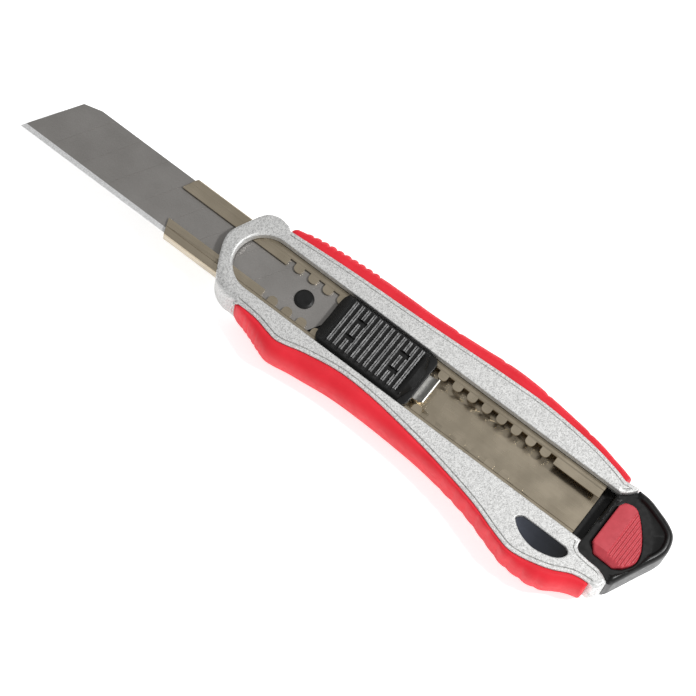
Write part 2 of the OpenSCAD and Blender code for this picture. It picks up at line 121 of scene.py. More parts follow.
def smoothed(p, step=0.6, corner=24.0, stretch=4.0):
    """A finer outline through the same points: corners stay and the rest becomes a smooth curve."""
    p = simplified(p)
    sharp = np.abs(turns(p)) > corner
    fine, keep = [], []
    for i in range(len(p)):
        a, b = p[i], p[(i + 1) % len(p)]
        length = np.linalg.norm(b - a)
        parts = max(1, int(length / stretch)) if length > 1.5 * stretch else 1
        for k in range(parts):
            fine.append(a + (b - a) * k / parts)
            keep.append(bool(sharp[i]) and k == 0)
    fine, count = np.array(fine), len(fine)
    out = []
    for i in range(count):
        p0, p1, p2, p3 = (fine[(i + k - 1) % count] for k in range(4))
        d0, d1, d2 = (max(np.linalg.norm(v), 1e-6) for v in (p1 - p0, p2 - p1, p3 - p2))
        m1 = (p2 - p1) if keep[i] else ((p1 - p0) / d0 * d1 + (p2 - p1) / d1 * d0) / (d0 + d1) * d1
        m2 = (p2 - p1) if keep[(i + 1) % count] else (
            (p2 - p1) / d1 * d2 + (p3 - p2) / d2 * d1) / (d1 + d2) * d1
        steps = max(1, round(d1 / step))
        for k in range(steps):
            t = k / steps
            out.append((2 * t**3 - 3 * t**2 + 1) * p1 + (t**3 - 2 * t**2 + t) * m1
                       + (-2 * t**3 + 3 * t**2) * p2 + (t**3 - t**2) * m2)
    return np.array(out)


def reach(p, loops, chunk=4000):
    """Distance from each point to the nearest place on the outlines, and that segment's number.
    The points are taken a chunk at a time, to save memory."""
    best, which = np.full(len(p), 1e9), np.zeros(len(p), int)
    base = 0
    for loop in loops:
        a, b = loop, np.roll(loop, -1, axis=0)
        d = b - a
        length = np.maximum((d**2).sum(1), 1e-12)
        for start in range(0, len(p), chunk):
            rows = slice(start, start + chunk)
            q = p[rows]
            t = np.clip(((q[:, None] - a) * d).sum(2) / length, 0, 1)
            gap = np.linalg.norm(q[:, None] - a - t[..., None] * d, axis=2)
            near = gap.argmin(1)
            gap = gap[np.arange(len(q)), near]
            closer = gap < best[rows]
            best[rows][closer] = gap[closer]
            which[rows][closer] = base + near[closer]
        base += len(loop)
    return best, which


def inside(p, loops):
    """True for points inside the first outline and outside the others."""
    odd = np.zeros(len(p), bool)
    for loop in loops:
        a, b = loop, np.roll(loop, -1, axis=0)
        for (ax, ay), (bx, by) in zip(a, b):
            crosses = (ay > p[:, 1]) != (by > p[:, 1])
            with np.errstate(divide="ignore", invalid="ignore"):
                at = ax + (p[:, 1] - ay) * (bx - ax) / (by - ay)
            odd ^= crosses & (p[:, 0] < at)
    return odd


# ---------------------------------------------------------------- meshes

# Share of its distance that a curve beside an outline must keep from all outlines
NEARLY = 0.96
# Least distance between a mesh line and the outline, and the tolerance of the flat mesh, in mm
LINE_CLEARANCE, WELD = 0.05, 1e-5
# Shares of a rounded edge's radius at which it gets mesh edges
ROUND_STEPS = (0.03, 0.12, 0.27, 0.47, 0.72, 1.0)
# Vertices of a CAD mesh that are closer than this are one, in metres
SAME_POINT = 0.004 * MM


def new_object(name, verts, faces, sharp=32.0):
    """A mesh object from vertices in millimetres, smooth apart from edges sharper than an angle."""
    mesh = bpy.data.meshes.new(name)
    mesh.from_pydata([Vector(v) * MM for v in verts], [], faces)
    mesh.validate()
    mesh.update()
    obj = bpy.data.objects.new(name, mesh)
    bpy.context.scene.collection.objects.link(obj)
    shade(obj, sharp)
    return obj


def shade(obj, sharp):
    """Smooth shading, apart from edges sharper than an angle in degrees."""
    mesh = obj.data
    mesh.polygons.foreach_set("use_smooth", [True] * len(mesh.polygons))
    mesh.set_sharp_from_angle(angle=math.radians(sharp))


def runs(points, good):
    """The stretches of two or more good points in a row."""
    chains = [[]]
    for point, fine in zip(points, good):
        if fine:
            chains[-1].append(point)
        else:
            chains.append([])
    return [chain for chain in chains if len(chain) > 1]


def rings(loops, distances):
    """Curves beside each outline, inside the region, as chains of points."""
    chains = []
    for number, loop in enumerate(loops):
        ordered = loop if number == 0 else loop[::-1]
        t = np.roll(ordered, -1, axis=0) - np.roll(ordered, 1, axis=0)
        t /= np.maximum(np.linalg.norm(t, axis=1), 1e-9)[:, None]
        normal = np.stack([-t[:, 1], t[:, 0]], 1)
        for d in distances:
            q = ordered + normal * d
            good = (reach(q, loops)[0] > NEARLY * d) & inside(q, loops)
            chains += runs(list(q) + [q[0]], list(good) + [good[0]])
    return chains


def relief(name, loops, low, top, distances=(), lines=(), sharp=32.0):
    """A solid over a region. Its lower and upper faces follow height functions of place and
    distance to the outline. Lines are open curves along which the mesh gets edges."""
    points, edges = [], []

    def add(chain, closed):
        base = len(points)
        points.extend(Vector(q) for q in chain)
        edges.extend((base + i, base + i + 1) for i in range(len(chain) - 1))
        if closed:
            edges.append((base + len(chain) - 1, base))

    for loop in loops:
        add(loop, True)
    for chain in rings(loops, distances):
        add(chain, False)
    for line in lines:
        line = np.array(line, float)
        good = inside(line, loops) & (reach(line, loops)[0] > LINE_CLEARANCE)
        for chain in runs(line, good):
            add(chain, False)
    flat, _, tris, _, _, _ = delaunay_2d_cdt(points, edges, [], 0, WELD)
    flat = np.array([(v.x, v.y) for v in flat])
    tris = np.array(tris)
    tris = tris[inside(flat[tris].mean(1), loops)]
    size = flat[tris[:, 1]] - flat[tris[:, 0]], flat[tris[:, 2]] - flat[tris[:, 0]]
    turned = size[0][:, 0] * size[1][:, 1] - size[0][:, 1] * size[1][:, 0] < 0
    tris[turned] = tris[turned][:, ::-1]
    used = np.unique(tris)
    number = {v: i for i, v in enumerate(used)}
    flat = flat[used]
    tris = [[number[v] for v in t] for t in tris]
    gap, near = reach(flat, loops)
    z_top, z_low = top(flat, gap, near), low(flat, gap, near)
    count = len(flat)
    verts = [(x, y, z) for heights in (z_top, z_low) for (x, y), z in zip(flat, heights)]
    sides_of = dict.fromkeys((t[i], t[(i + 1) % 3]) for t in tris for i in range(3))
    walls = [(b, a, a + count, b + count) for a, b in sides_of if (b, a) not in sides_of]
    faces = tris + [[v + count for v in reversed(t)] for t in tris] + [list(w) for w in walls]
    return new_object(name, verts, faces, sharp)


def level(z):
    """Height function of a flat face."""
    return lambda p, gap, near: np.full(len(p), float(z))


def eased(gap, radius, drop):
    """How far a rounded edge lies below the face, at a distance from the outline."""
    t = np.clip(1 - gap / radius, 0, 1)
    return drop * (1 - np.sqrt(np.clip(1 - t**2, 0, 1)))


def round_rings(*radii):
    """Distances from the outline at which rounded edges need mesh edges."""
    return sorted({round(r * s, 4) for r in radii for s in ROUND_STEPS})


def as_object(bm, name):
    """An object from an edit mesh, which is freed."""
    mesh = bpy.data.meshes.new(name)
    bm.to_mesh(mesh)
    bm.free()
    obj = bpy.data.objects.new(name, mesh)
    bpy.context.scene.collection.objects.link(obj)
    return obj


def cad_mesh(node):
    """An edit mesh of a CAD node, with vertices in the same place merged."""
    bm = bmesh.new()
    bm.from_mesh(frame["nodes"][node].data)
    bmesh.ops.remove_doubles(bm, verts=bm.verts, dist=SAME_POINT)
    return bm


def joined(name, parts, sharp=32.0):
    """One object out of several."""
    bm = bmesh.new()
    for part in parts:
        bm.from_mesh(part.data)
        bpy.data.objects.remove(part)
    obj = as_object(bm, name)
    shade(obj, sharp)
    return obj


def box_mesh(name, a, b):
    """A block between two corners, used to cut others."""
    verts = [(x, y, z) for x in (a[0], b[0]) for y in (a[1], b[1]) for z in (a[2], b[2])]
    faces = [(0, 1, 3, 2), (4, 6, 7, 5), (0, 4, 5, 1), (2, 3, 7, 6), (0, 2, 6, 4), (1, 5, 7, 3)]
    return new_object(name, verts, faces)


def drum(name, x, y, z0, z1, radius, sides=48):
    """An upright round bar."""
    angles = [2 * math.pi * k / sides for k in range(sides)]
    verts = [(x + radius * math.cos(a), y + radius * math.sin(a), z)
             for z in (z0, z1) for a in angles]
    faces = [[k, (k + 1) % sides, (k + 1) % sides + sides, k + sides] for k in range(sides)]
    faces += [list(range(sides))[::-1], list(range(sides, 2 * sides))]
    return new_object(name, verts, faces)


def cut(obj, cutters, sharp=32.0):
    """Takes the cutters away from an object and deletes them."""
    for cutter in cutters:
        mod = obj.modifiers.new("cut", "BOOLEAN")
        mod.operation = "DIFFERENCE"
        mod.solver = "EXACT"
        mod.object = cutter
    graph = bpy.context.evaluated_depsgraph_get()
    mesh = bpy.data.meshes.new_from_object(obj.evaluated_get(graph))
    obj.modifiers.clear()
    obj.data = mesh
    for cutter in cutters:
        bpy.data.objects.remove(cutter)
    shade(obj, sharp)
    return obj


def refined(node, width=0.0, sharp=32.0, limit=38.0, flatness=0.6):
    """A copy of a CAD node's mesh. With a width in millimetres, its edges that turn by more than
    a limit are rounded, and its flat faces keep their flat shading."""
    bm = cad_mesh(node)
    if width:
        bmesh.ops.dissolve_limit(bm, angle_limit=math.radians(flatness), verts=bm.verts,
                                 edges=bm.edges)
        edges = [e for e in bm.edges if len(e.link_faces) == 2
                 and e.calc_face_angle(0) > math.radians(limit)]
        bmesh.ops.bevel(bm, geom=edges, offset=width * MM, segments=2, profile=0.5,
                        affect="EDGES", clamp_overlap=True)
    obj = as_object(bm, node + "_visual")
    shade(obj, sharp)
    if width:
        flat = obj.modifiers.new("flat_faces", "WEIGHTED_NORMAL")
        flat.keep_sharp = True
        flat.weight = 60
    return obj


def box(node):
    """Lowest and highest corner of a CAD node, in millimetres."""
    low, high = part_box(node)
    return np.array(low) / MM, np.array(high) / MM


def round_place(loop):
    """Middle and radius of a round outline."""
    low, high = loop.min(0), loop.max(0)
    return (low + high) / 2, (high - low)[0] / 2


# ---------------------------------------------------------------- levels and places from the frame

FRONT_LOW, FRONT_HIGH = box("front_housing")
CHANNEL_HIGH = box("blade_channel")[1]
FACE_Z = FRONT_HIGH[2]
SPLIT_Z = FRONT_LOW[2]
NOSE_X = FRONT_LOW[0]
LIPS_Z = CHANNEL_HIGH[2]
CHANNEL_HALF = CHANNEL_HIGH[1]
CAP_LOW, CAP_HIGH = box("end_cap")
UPPER_FRONT = box("upper_grip")[0][0]
LOWER_FRONT, LOWER_REAR = (corner[0] for corner in box("lower_grip"))
# Depth below the face at which its outlines are taken, clear of the rounded edges
OUTLINE_DEPTH = 0.5
# Distance from the nose to a place where the window has its full width, and to the window's
# front end
FULL_WINDOW, WINDOW_FRONT = 40, 3
# How far a point may lie outside the window and still count as on it
WINDOW_SLACK = 0.05


def crossings(loop, x):
    """The y values at which an outline crosses a line of constant x."""
    a, b = loop, np.roll(loop, -1, axis=0)
    hit = (a[:, 0] > x) != (b[:, 0] > x)
    p, q = a[hit], b[hit]
    return p[:, 1] + (x - p[:, 0]) * (q[:, 1] - p[:, 1]) / (q[:, 0] - p[:, 0])


def window_half():
    """Half of the window's width: where a line across the handle meets the upper rail."""
    loop = section("front_housing", FACE_Z - OUTLINE_DEPTH)[0]
    return float(np.abs(crossings(loop, NOSE_X + FULL_WINDOW)).min())


WINDOW_HALF = window_half()


def front_outlines():
    """Smooth outlines of the front housing and of its lens-shaped hole."""
    loops = section("front_housing", FACE_Z - OUTLINE_DEPTH)
    return [smoothed(p) for p in loops[:2]]


def window_side(p):
    """True for points of the front outline that lie on the window."""
    return (np.abs(p[:, 1]) < WINDOW_HALF + WINDOW_SLACK) & (p[:, 0] > NOSE_X + WINDOW_FRONT)


def body_outline(loop):
    """The front outline without its window, closed straight across at the cap."""
    on_window = window_side(loop)
    start = int(np.argmax(on_window & ~np.roll(on_window, 1)))
    rolled = np.roll(loop, -start, axis=0)
    return rolled[~window_side(rolled)]


def outer_at(loop, x, side):
    """Outermost y of an outline at each x."""
    hits = [crossings(loop, here) for here in x]
    good = np.array([len(y) > 0 for y in hits])
    out = [side * (side * y).max() for y in hits if len(y)]
    return np.interp(x, x[good], out)


# ---------------------------------------------------------------- pieces

FRONT_LOOP, LENS_LOOP = front_outlines()
BODY_LOOP = body_outline(FRONT_LOOP)


def front_shell():
    """Front half of the body: bead and groove beside the grips, a bevel round the window."""
    loops = [FRONT_LOOP, LENS_LOOP]
    middles = (FRONT_LOOP + np.roll(FRONT_LOOP, -1, axis=0)) / 2
    on_window = window_side(middles)
    groove_at, groove_half, groove_deep, bead_low, bead_ramp = 1.15, 0.17, 0.42, 0.16, 0.1
    facet_w, facet_slope = 2.0, 0.75
    bevel_share, lens_round, grip_round, end_round, seam_round = 0.75, 0.35, 0.35, 0.9, 0.15

    def top(p, gap, near):
        count = len(FRONT_LOOP)
        lens = near >= count
        window = ~lens & on_window[np.minimum(near, count - 1)]
        border = ~lens & ~window
        wide = np.interp(p[:, 0] - NOSE_X, [4, 9, 17], [1.0, 0.8, 0.35])
        z = np.full(len(p), FACE_Z)
        z -= np.where(window, eased(gap, wide, bevel_share * wide), 0)
        z -= np.where(lens, eased(gap, lens_round, 0.25), 0)
        beside_grip = border & (p[:, 0] > UPPER_FRONT - 0.3) & (p[:, 0] < LOWER_REAR + 0.5)
        bead = np.clip((groove_at + groove_half - gap) / bead_ramp, 0, 1) * bead_low
        groove = np.clip(1 - np.abs(gap - groove_at) / groove_half, 0, 1) * groove_deep
        z -= np.where(beside_grip, bead + groove + eased(gap, grip_round, 0.3), 0)
        z -= np.where(border & ~beside_grip, eased(gap, end_round, 0.75), 0)
        along_nose = np.interp(p[:, 0] - NOSE_X, [3.5, 6.5, 12, 14], [0, 1, 1, 0])
        facet = np.clip(facet_w - gap, 0, facet_w) * facet_slope * along_nose
        z -= np.where(border & (p[:, 1] < -CHANNEL_HALF + 1), facet, 0)
        return z

    def low(p, gap, near):
        return SPLIT_Z + eased(gap, seam_round, 0.12)

    beside_groove = [groove_at + off for off in (-groove_half, -0.05, 0, 0.05, groove_half)]
    distances = sorted(set(round_rings(grip_round, end_round) + beside_groove + [
        0.06, groove_at + groove_half + bead_ramp, facet_w - 0.04, facet_w + 0.04]))
    shell = relief("front_housing_visual", loops, low, top, distances)
    half, roof = CHANNEL_HALF + 0.2, LIPS_Z + 0.15
    bed = box_mesh("cut", (NOSE_X - 5, -half, SPLIT_Z - 1), (CAP_HIGH[0] + 10, half, roof))
    cut(shell, [bed])
    seat_z = box("side_window")[0][2] - 0.02
    seat = relief("seat", [LENS_LOOP], level(SPLIT_Z + 0.1), level(seat_z))
    return joined("front_housing_visual", [shell, seat, grip_bead()])


def tube(name, path, radius):
    """A round bead along a path of points in millimetres, with tapered ends."""
    sides, last, path = 10, len(path) - 1, [Vector(p) for p in path]
    end_shares = {0: 0.35, 1: 0.8}
    verts, faces = [], []
    for i, p in enumerate(path):
        along = (path[min(i + 1, last)] - path[max(i - 1, 0)]).normalized()
        aside = Vector((0, 0, 1)) if abs(along.z) < 0.9 else Vector((1, 0, 0))
        across = along.cross(aside).normalized()
        other = along.cross(across)
        r = radius * end_shares.get(min(i, last - i), 1.0)
        for k in range(sides):
            a = 2 * math.pi * k / sides
            verts.append(p + (across * math.cos(a) + other * math.sin(a)) * r)
    for i in range(last):
        for k in range(sides):
            a, b = i * sides + k, i * sides + (k + 1) % sides
            faces.append([a, b, b + sides, a + sides])
    faces.append(list(range(sides))[::-1])
    faces.append([last * sides + k for k in range(sides)])
    return new_object(name, verts, faces, sharp=60)


def grip_bead():
    """Bead of metal that wraps round the front end of the lower grip, down its side."""
    radius, inset, below_face, bend_deep, side_lean = 0.42, 0.12, 0.45, 4.8, 0.12
    xs = np.linspace(LOWER_FRONT + 7.5, LOWER_FRONT + 0.6, 14)
    ys = outer_at(BODY_LOOP, xs, -1)
    path = [(x, y + inset, FACE_Z - below_face) for x, y in zip(xs, ys)]
    x, y, z = path[-1]
    for turn in np.linspace(0.15, 1.0, 12):
        a = turn * math.pi / 2
        drop = bend_deep * (1 - math.cos(a))
        path.append((x - 1.0 * math.sin(a), y - 0.25 * math.sin(a) - side_lean * drop, z - drop))
    x, y, z = path[-1]
    path += [(x + 0.05 * k, y - 0.02 * k, z - 1.1 * k) for k in (1, 2, 3)]
    return tube("bead", path, radius)


def back_shell():
    """Back half of the body, rounded at the nose and the rear, with the screws' counterbores."""
    nose_round, side_round, rear_round = 2.4, 0.45, 1.8
    play, head_play, shank_share, bore_deep = 0.2, 0.15, 0.66, 1.3

    def low(p, gap, near):
        round_r = np.interp(p[:, 0], [NOSE_X + 8, NOSE_X + 14, LOWER_REAR - 1, LOWER_REAR + 2],
                            [nose_round, side_round, side_round, rear_round])
        return eased(gap, round_r, round_r)

    def top(p, gap, near):
        return SPLIT_Z - eased(gap, 0.15, 0.12)

    shell = relief("back_housing_visual", [BODY_LOOP], low, top,
                   round_rings(side_round, nose_round))
    tray_low, tray_high = box("blade_tray")
    store = box_mesh("cut", (tray_low[0] - play, tray_low[1] - play, tray_low[2]),
                     (CAP_HIGH[0] + 10, tray_high[1] + play, SPLIT_Z + 1))
    bores = []
    for head in section("housing_screws", 0.7):
        (x, y), radius = round_place(head)
        bores.append(drum("cut", x, y, -1, bore_deep, radius + head_play))
        bores.append(drum("cut", x, y, -1, SPLIT_Z + 1, radius * shank_share))
    return cut(shell, [store] + bores)


def closing_at(distance, end_len):
    """Share of a grip's thickness at a distance from its end, which closes in a quarter round."""
    return np.sqrt(np.clip(1 - np.clip(1 - distance / end_len, 0, 1) ** 2, 0.002, 1))


def grip(node, side, relief_of, ends, rear_lean, front=0.0):
    """A soft grip: a rounded band along the body's edge, shaped by relief_of(x, angle)."""
    (x0, _, z0), (x1, _, z1) = box(node)
    x0 -= front
    step, corners, squareness, seat_gap, spread = 0.35, 26, 2 / 2.7, 0.13, 15
    front_drop, rear_drop, lip_deep, lip_wide, rear_len = 0.42, 0.1, 0.3, 0.4, 6
    count = int((x1 - x0) / step)
    x = np.linspace(x0, x1, count)
    base = outer_at(BODY_LOOP, x, side) + side * seat_gap
    loop = section(node, (z0 + z1) / 2)[0]
    thick = side * (outer_at(loop, x, side) - base)
    padded = np.pad(thick, spread, mode="edge")
    thick = np.convolve(padded, np.ones(2 * spread + 1) / (2 * spread + 1), "valid")
    from_front, from_rear = x - x0, x1 - x
    closing = closing_at(from_front, ends[0]) * closing_at(from_rear, ends[1])
    middle, half = (z0 + z1) / 2, (z1 - z0) / 2
    verts, faces = [], []
    for i in range(count):
        for k in range(corners):
            a = math.pi * k / (corners - 1)
            out = math.sin(a) ** squareness
            height = math.copysign(abs(math.cos(a)) ** squareness, math.cos(a))
            t = thick[i] * closing[i] * out - relief_of(x[i] - NOSE_X, a) * out
            end_drop = front_drop if from_front[i] < ends[0] else rear_drop
            up = half * height * (1 - end_drop * (1 - closing[i]))
            lip = lip_deep * math.exp(-(max(t, 0) / lip_wide) ** 2) if height > 0 else 0
            shift = rear_lean * max(0.0, 1 - from_rear[i] / rear_len) * t
            verts.append((x[i] + shift, base[i] + side * max(t, 0.0), middle + up - lip))
    for i in range(count - 1):
        for k in range(corners):
            a, b = i * corners + k, i * corners + (k + 1) % corners
            face = [a, b, b + corners, a + corners]
            faces.append(face if side > 0 else face[::-1])
    first = list(range(corners))
    last = [(count - 1) * corners + k for k in range(corners)]
    faces += [first[::-1], last] if side > 0 else [first, last[::-1]]
    return new_object(node, verts, faces, sharp=40)


def upper_relief(x, a):
    """How far the upper grip is cut in, x mm from the nose and at an angle round its section: thumb
    ridges near the front, and four shallow notches further back, each behind a slight swell."""
    outer = math.sin(a) ** 0.5
    cut_in = 0.0
    first, last, pitch, ridge_deep, ridge_lift = 17.3, 41.5, 2.42, 0.95, 0.35
    swell_end, swell_fade, swell = 58, 14, 0.55
    notch_deep, notch_half, notch_swell, notch_swell_len = 0.34, 0.7, 0.12, 6
    if first < x < last:
        share = ((x - first) / pitch) % 1
        cut_in += ridge_deep * (1 - math.sin(math.pi * share) ** 0.5) * outer - ridge_lift
    cut_in -= swell * min(1, max(0, (swell_end - x) / swell_fade))
    for at in (68.8, 84.3, 99.3, 115.4):
        cut_in += notch_deep * math.exp(-((x - at) / notch_half) ** 2) * outer
        if at - notch_swell_len < x <= at:
            cut_in -= notch_swell * (1 - (at - x) / notch_swell_len)
    return cut_in


def lower_relief(x, a):
    """How far the lower grip is cut in, x mm from the nose and at an angle round its section: fine
    serrations near the front, and finger scallops along the rear."""
    outer = max(0.0, math.sin(a)) ** 0.7
    cut_in = 0.0
    first, last, pitch, deep = 17, 29, 1.9, 0.28
    if first < x < last:
        fade = min(1, (x - first) / 2, (last - x) / 3)
        wave = 0.5 + 0.5 * math.cos(2 * math.pi * (x - first) / pitch)
        cut_in += deep * fade * wave ** 3 * outer
    first, last, pitch, deep = 86, 134, 4.7, 0.5
    if first < x < last:
        fade = min(1, (x - first) / 8, (last - x) / 4)
        share = ((x - first) / pitch) % 1
        cut_in += deep * fade * (1 - math.sin(math.pi * share) ** 0.8) * outer
    return cut_in


def slider_cap():
    """Thumb slider: sloped sides, a wide front bevel, ribs, pockets and a curved rear facet. Each
    rib has two crests, whose tops lean to the rear."""
    (_, _, low_z), (_, _, top_z) = box("thumb_slider")
    skirt_z, skirt_high = LIPS_Z + 0.75, 0.75
    loop = smoothed(section("thumb_slider", skirt_z + 0.5)[0], corner=50)
    front_cut, front_part_len = 1.0, 8.0
    x0 = loop[:, 0].min()
    loop[:, 0] += front_cut * np.clip(1 - (loop[:, 0] - x0) / front_part_len, 0, 1)
    x0, x1 = loop[:, 0].min(), loop[:, 0].max()
    half = loop[:, 1].max()
    rib_x0, rib_pitch, rib_count = x0 + 2.5, 2.1, 13
    valley, groove, lean_drop = 0.85, 0.35, 0.12
    rib_offs = (-0.66, -0.6, -0.22, -0.14, -0.04, 0.02, 0.4, 0.48, 0.54)
    rib_drops = (valley, 0, lean_drop, groove, groove, 0, lean_drop, groove, valley)
    facet_x, facet_drop, facet_slope = rib_x0 + rib_count * rib_pitch - 0.2, 0.25, 0.42
    front_slope, inset_y, edge_round = 0.95, 1.7, 0.3
    rear_ledge, rear_bow, rear_fall = 1.0, 2.1, 0.25
    play, pocket_half, pocket_deep, pocket_y = 0.25, (1.65, 0.8), 1.25, 2.8

    def rear_arc(y):
        return x1 - rear_ledge - rear_bow * (y / half) ** 2

    def rib_height(x):
        share = (x - rib_x0) / rib_pitch
        off = (share - np.round(share)) * rib_pitch
        within = (x > rib_x0 - rib_pitch / 2) & (x < rib_x0 + (rib_count - 0.5) * rib_pitch)
        return top_z - np.where(within, np.interp(off, rib_offs, rib_drops), valley)

    def top(p, gap, near):
        x, y = p[:, 0], np.abs(p[:, 1])
        z = rib_height(x)
        z = np.where(x > facet_x, top_z - facet_drop - (x - facet_x) * facet_slope, z)
        z = np.minimum(z, skirt_z + skirt_high + (x - x0) * front_slope)
        side_high = (half - y) / inset_y * (top_z - skirt_z - skirt_high)
        z = np.minimum(z, skirt_z + skirt_high + side_high)
        z = np.minimum(z, skirt_z + 0.85 + np.clip((rear_arc(y) - x) * 5, 0, 9))
        return z - eased(gap, edge_round, 0.25)

    across = np.linspace(-half, half, 41)
    lines = []
    for i in range(rib_count):
        lines += [[(rib_x0 + i * rib_pitch + off, y) for y in across] for off in rib_offs]
    lines.append([(facet_x, y) for y in across])
    lines.append([(rear_arc(y), y) for y in across])
    lines.append([(rear_arc(y) - rear_fall, y) for y in across])
    along = np.linspace(x0 + 0.2, x1 - 0.2, 60)
    for off in (0.25, 0.6, 1.0, 1.35, inset_y):
        for side in (-1, 1):
            lines.append([(x, side * (half - off)) for x in along])
    for off in (0.8, 1.6, 2.4):
        lines.append([(x0 + off, y) for y in across])
    block = relief("thumb_slider_visual", [loop], level(skirt_z), top, round_rings(edge_round),
                   lines, 42)
    carrier_top = box("blade_carrier")[1][2]
    cutters = []
    for neck in section("blade_carrier", LIPS_Z + 0.5):
        a, b = neck.min(0) - play, neck.max(0) + play
        if b[0] - play > x0 + 2:
            cutters.append(box_mesh("cut", (*a, skirt_z - 1), (*b, carrier_top + 0.9)))
    for share in (0.27, 0.725):
        for side in (-1, 1):
            middle = np.array((x0 + share * (x1 - x0), side * pocket_y))
            cutters.append(box_mesh("cut", (*(middle - pocket_half), top_z - pocket_deep),
                                    (*(middle + pocket_half), top_z + 2)))
    cut(block, cutters, 42)
    posts = []
    for post in section("thumb_slider", low_z + 0.2):
        (x, y), radius = round_place(post)
        posts.append(drum("post", x, y, low_z, skirt_z + 0.5, radius))
    return joined("thumb_slider_visual", [block] + posts, 42)


def cap_shell():
    """End cap: rounded outside, a raised rim round the rear of its panel, and its tongue."""
    outline_z, floor_high = 9, 2.5
    loops = [smoothed(p) for p in section("end_cap", outline_z)[:2]]
    outer = loops[0]
    middles = (outer + np.roll(outer, -1, axis=0)) / 2
    seam = reach(middles, [BODY_LOOP])[0] < 0.45
    rim_z, panel_z = CAP_HIGH[2], CAP_HIGH[2] - 1.2
    rim_w, rim_ramp, rim_round, seam_round, hole_round, under_round = 2.7, 1.0, 1.5, 0.4, 0.35, 2.4

    def at_seam(near):
        return seam[np.minimum(near, len(outer) - 1)] & (near < len(outer))

    def top(p, gap, near):
        hole = near >= len(outer)
        front = at_seam(near)
        rim = np.clip((rim_w - gap) / rim_ramp, 0, 1)
        rim = rim * rim * (3 - 2 * rim)
        z = panel_z + np.where(~hole & ~front, rim * (rim_z - panel_z), 0)
        z -= np.where(~hole & ~front, eased(gap, rim_round, 1.9), 0)
        z -= np.where(front, eased(gap, seam_round, 0.3), 0)
        z -= np.where(hole, eased(gap, hole_round, 0.25), 0)
        return z

    def low(p, gap, near):
        round_r = np.where(at_seam(near), 0.3, under_round)
        return CAP_LOW[2] + np.where(near >= len(outer), 0, eased(gap, round_r, round_r))

    distances = sorted(set(round_rings(seam_round, rim_round, under_round) + [
        1.7, 1.95, 2.2, 2.45, rim_w]))
    shell = relief("cap", loops, low, top, distances)
    floor = relief("floor", [loops[1]], level(CAP_LOW[2]), level(CAP_LOW[2] + floor_high))
    tongue = front_part("end_cap", outer[:, 0].min() - 0.02)
    return joined("end_cap_visual", [shell, floor, tongue])


def front_part(node, x):
    """The part of a CAD node that lies in front of x, closed."""
    bm = cad_mesh(node)
    everything = bm.verts[:] + bm.edges[:] + bm.faces[:]
    halved = bmesh.ops.bisect_plane(bm, geom=everything, dist=1e-7, plane_co=(x * MM, 0, 0),
                                    plane_no=(1, 0, 0), clear_outer=True)
    rim = [e for e in halved["geom_cut"] if isinstance(e, bmesh.types.BMEdge)]
    bmesh.ops.holes_fill(bm, edges=rim, sides=0)
    return as_object(bm, "part")


def button():
    """Latch button: a flat front, cross ribs on the falling rear, and a sloped side."""
    (_, _, low_z), (_, _, top_z) = box("latch_button")
    loop = smoothed(section("latch_button", top_z - 1)[0])
    x0, x1, y0 = loop[:, 0].min(), loop[:, 0].max(), loop[:, 1].min()
    rib_x0, rib_pitch, rib_deep = x0 + 5.2, 1.05, 0.32
    rib_shares, rib_shape = (0, 0.3, 0.45, 0.85, 1), (0, 1, 1, 0, 0)
    rear_slope, side_y, side_slope, edge_round, body_high = 0.11, y0 + 2.3, 0.8, 0.5, 4.4

    def top(p, gap, near):
        x, y = p[:, 0], p[:, 1]
        behind = np.clip(x - rib_x0, 0, None)
        share = behind / rib_pitch % 1
        z = top_z - behind * rear_slope
        z -= np.where(x > rib_x0, rib_deep * np.interp(share, rib_shares, rib_shape), 0)
        z = np.minimum(z, top_z - (side_y - y) * side_slope)
        return z - eased(gap, edge_round, 0.4)

    across = np.linspace(y0, loop[:, 1].max(), 41)
    rib_count = int((x1 - rib_x0) / rib_pitch) + 1
    lines = [[(rib_x0 + (i + share) * rib_pitch, y) for y in across]
             for i in range(rib_count) for share in rib_shares[:-1]]
    lines.append([(x, side_y) for x in np.linspace(x0, x1, 40)])
    block = relief("latch_button_visual", [loop], level(top_z - body_high), top,
                   round_rings(edge_round), lines)
    (x, y), radius = round_place(section("latch_button", low_z + 1)[0])
    stem = drum("stem", x, y, low_z, top_z - 4, radius)
    return joined("latch_button_visual", [block, stem])


def lens():
    """Side window: a dished glossy insert with a steep inner wall and a crease along it."""
    low_z = box("side_window")[0][2]
    loop = smoothed(section("side_window", low_z + 0.4)[0])
    y1 = loop[:, 1].max()
    x0, x1 = loop[:, 0].min(), loop[:, 0].max()
    below_face, deep, inner_w, outer_w, bow, edge_round = 0.55, 1.35, 1.9, 4.2, 0.5, 0.15
    inner_share, dish_power = 0.75, 1.3

    def crease(x):
        return y1 - inner_w - bow * np.sin(math.pi * np.clip((x - x0) / (x1 - x0), 0, 1))

    def top(p, gap, near):
        inner = (p[:, 1] - crease(p[:, 0])) / inner_w
        outer = (crease(p[:, 0]) - p[:, 1]) / outer_w
        rise = np.clip(np.where(inner > 0, inner * inner_share, outer), 0, 1) ** dish_power
        return FACE_Z - below_face - deep * (1 - rise) - eased(gap, edge_round, 0.1)

    along = np.linspace(x0, x1, 50)
    lines = [[(x, crease(x) + off) for x in along]
             for off in (-2.4, -1.6, -0.9, -0.4, 0, 0.3, 0.7, 1.2)]
    return relief("side_window_visual", [loop], level(low_z), top, round_rings(edge_round), lines,
                  25)


# ---------------------------------------------------------------- materials


